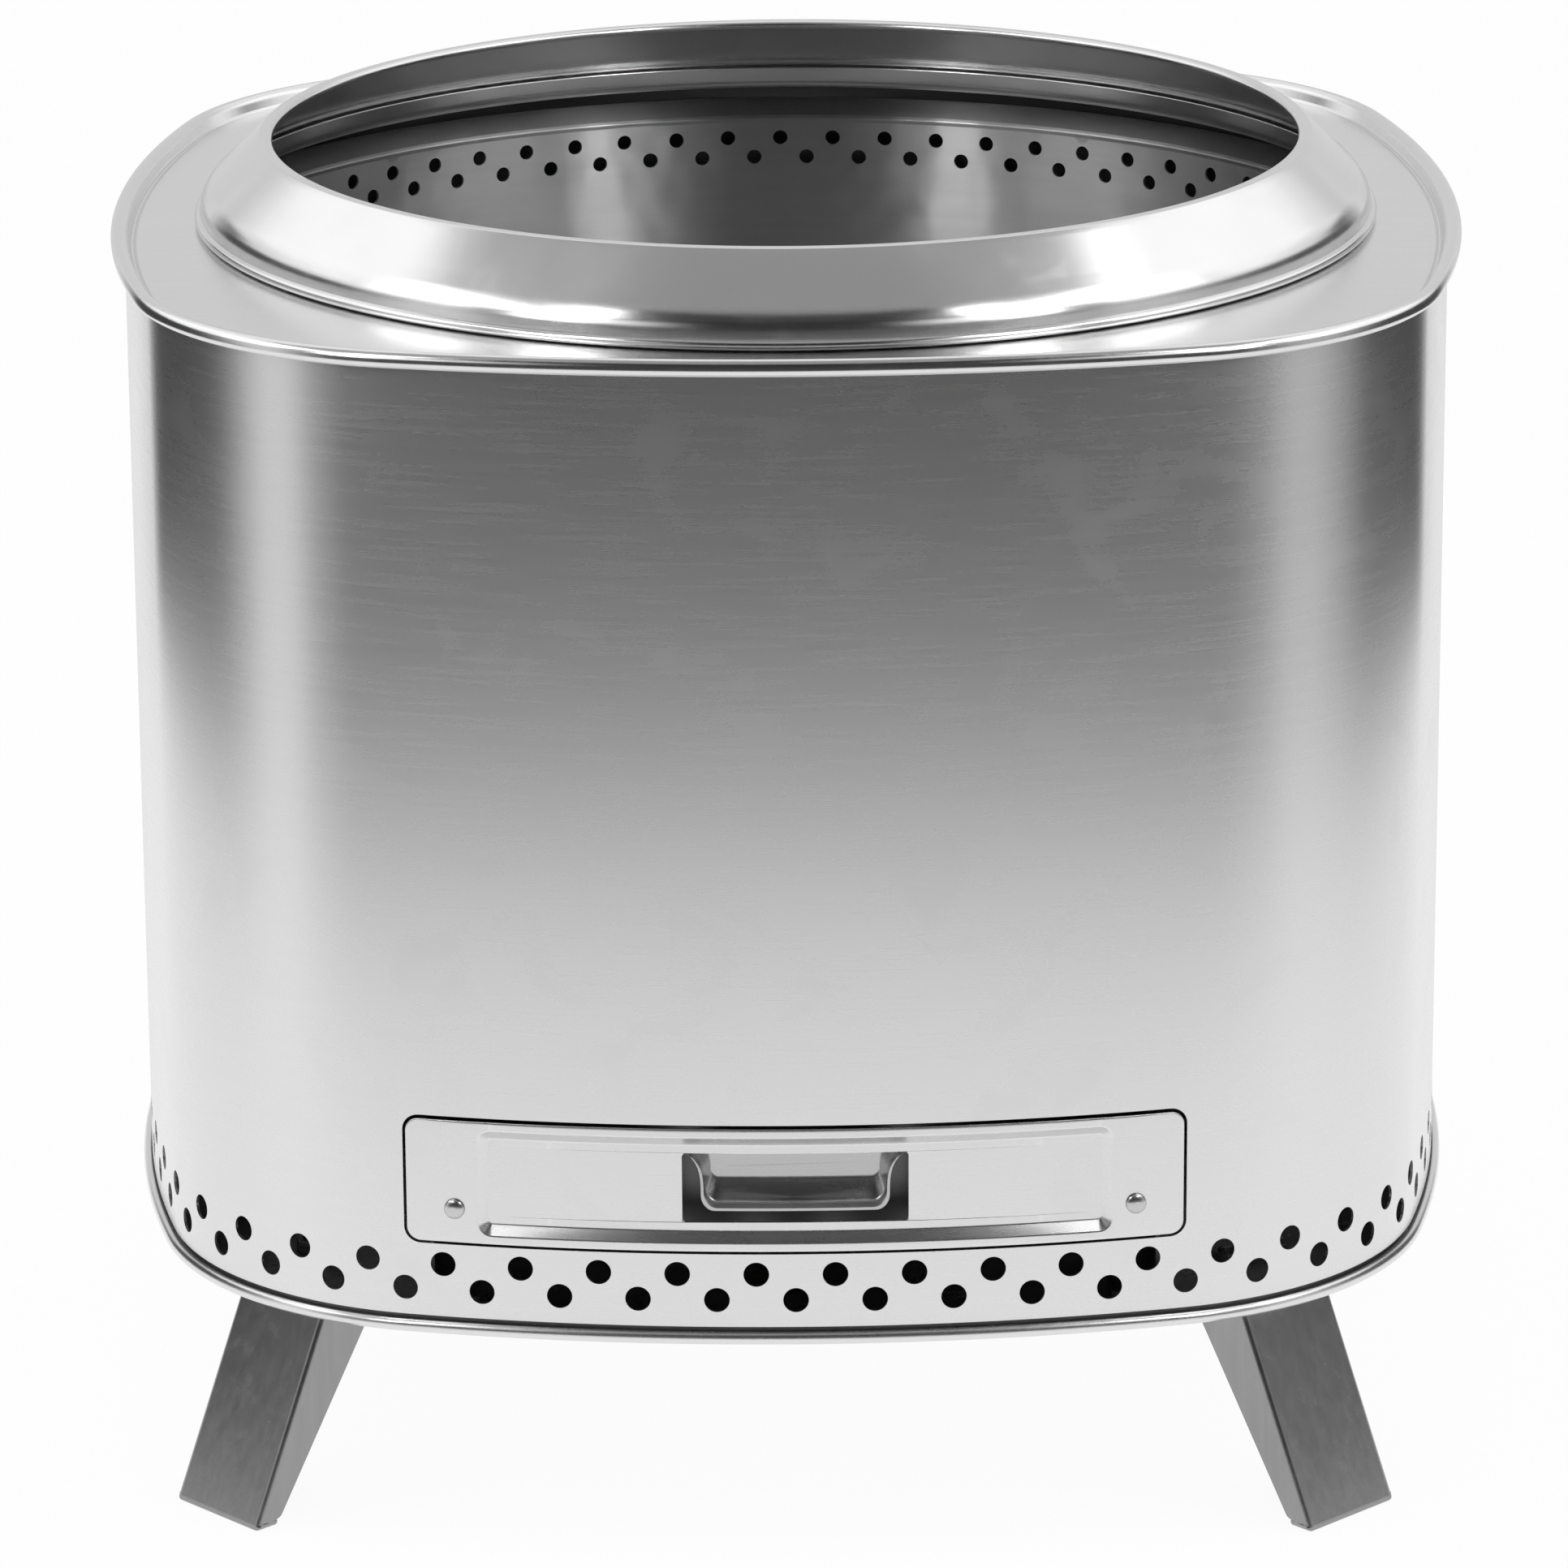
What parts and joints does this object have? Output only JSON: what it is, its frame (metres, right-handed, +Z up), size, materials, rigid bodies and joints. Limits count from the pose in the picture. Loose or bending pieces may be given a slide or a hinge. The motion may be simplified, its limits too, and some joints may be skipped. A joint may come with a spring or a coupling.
{
  "type": "fire barrel",
  "caption": "Square double-walled steel fire barrel with round corners, lift-off flame ring, lift-out grate, slide-out ash drawer and splayed folded legs.",
  "frame": {"origin": "on the ground under the middle of the body", "axes": "+Z up, the ash drawer slides out towards -Y, +X to the right seen from the drawer's side"},
  "size_m": [0.5102, 0.5102, 0.481],
  "materials": {
    "wall_steel": "fine horizontal brushing, satin",
    "deck_steel": "fine brushing, satin",
    "ring_steel": "brushed round the ring, satin",
    "chamber_steel": "smooth rolled sheet, slightly wavy",
    "plain_steel": "plain rolled sheet",
    "grate_steel": "plain plate, dull",
    "leg_steel": "fine brushing along the leg, satin",
    "bolt_steel": "plain hardware"
  },
  "bodies": {
    "barrel_body": {"base_pan": "plain_steel", "outer_shell": "wall_steel", "top_deck": "deck_steel", "inner_drum": "chamber_steel", "drum_floor": "chamber_steel", "runner_left": "plain_steel", "runner_right": "plain_steel", "leg_front_left": "leg_steel", "leg_front_right": "leg_steel", "leg_rear_left": "leg_steel", "leg_rear_right": "leg_steel", "drum_bracket_front_left": "plain_steel", "drum_bracket_front_right": "plain_steel", "drum_bracket_rear_left": "plain_steel", "drum_bracket_rear_right": "plain_steel", "leg_bolt_front_left_a": "bolt_steel", "leg_bolt_front_left_b": "bolt_steel", "leg_bolt_front_right_a": "bolt_steel", "leg_bolt_front_right_b": "bolt_steel", "leg_bolt_rear_left_a": "bolt_steel", "leg_bolt_rear_left_b": "bolt_steel", "leg_bolt_rear_right_a": "bolt_steel", "leg_bolt_rear_right_b": "bolt_steel", "leg_nut_front_left_a": "bolt_steel", "leg_nut_front_left_b": "bolt_steel", "leg_nut_front_right_a": "bolt_steel", "leg_nut_front_right_b": "bolt_steel", "leg_nut_rear_left_a": "bolt_steel", "leg_nut_rear_left_b": "bolt_steel", "leg_nut_rear_right_a": "bolt_steel", "leg_nut_rear_right_b": "bolt_steel"},
    "top_ring": {"flame_ring": "ring_steel"},
    "grate": {"fire_grate": "grate_steel"},
    "ash_drawer": {"ash_tray": "plain_steel", "drawer_front": "wall_steel", "pull_scoop": "wall_steel", "drawer_rivet_left": "bolt_steel", "drawer_rivet_right": "bolt_steel"}
  },
  "joints": [
    {"name": "ring_lift", "type": "slide", "parent": "barrel_body", "child": "top_ring", "axis": [0, 0, 1], "range_m": [0, 0.12]},
    {"name": "grate_lift", "type": "slide", "parent": "barrel_body", "child": "grate", "axis": [0, 0, 1], "range_m": [0, 0.33]},
    {"name": "drawer_slide", "type": "slide", "parent": "barrel_body", "child": "ash_drawer", "axis": [0, -1, 0], "range_m": [0, 0.31]}
  ]
}
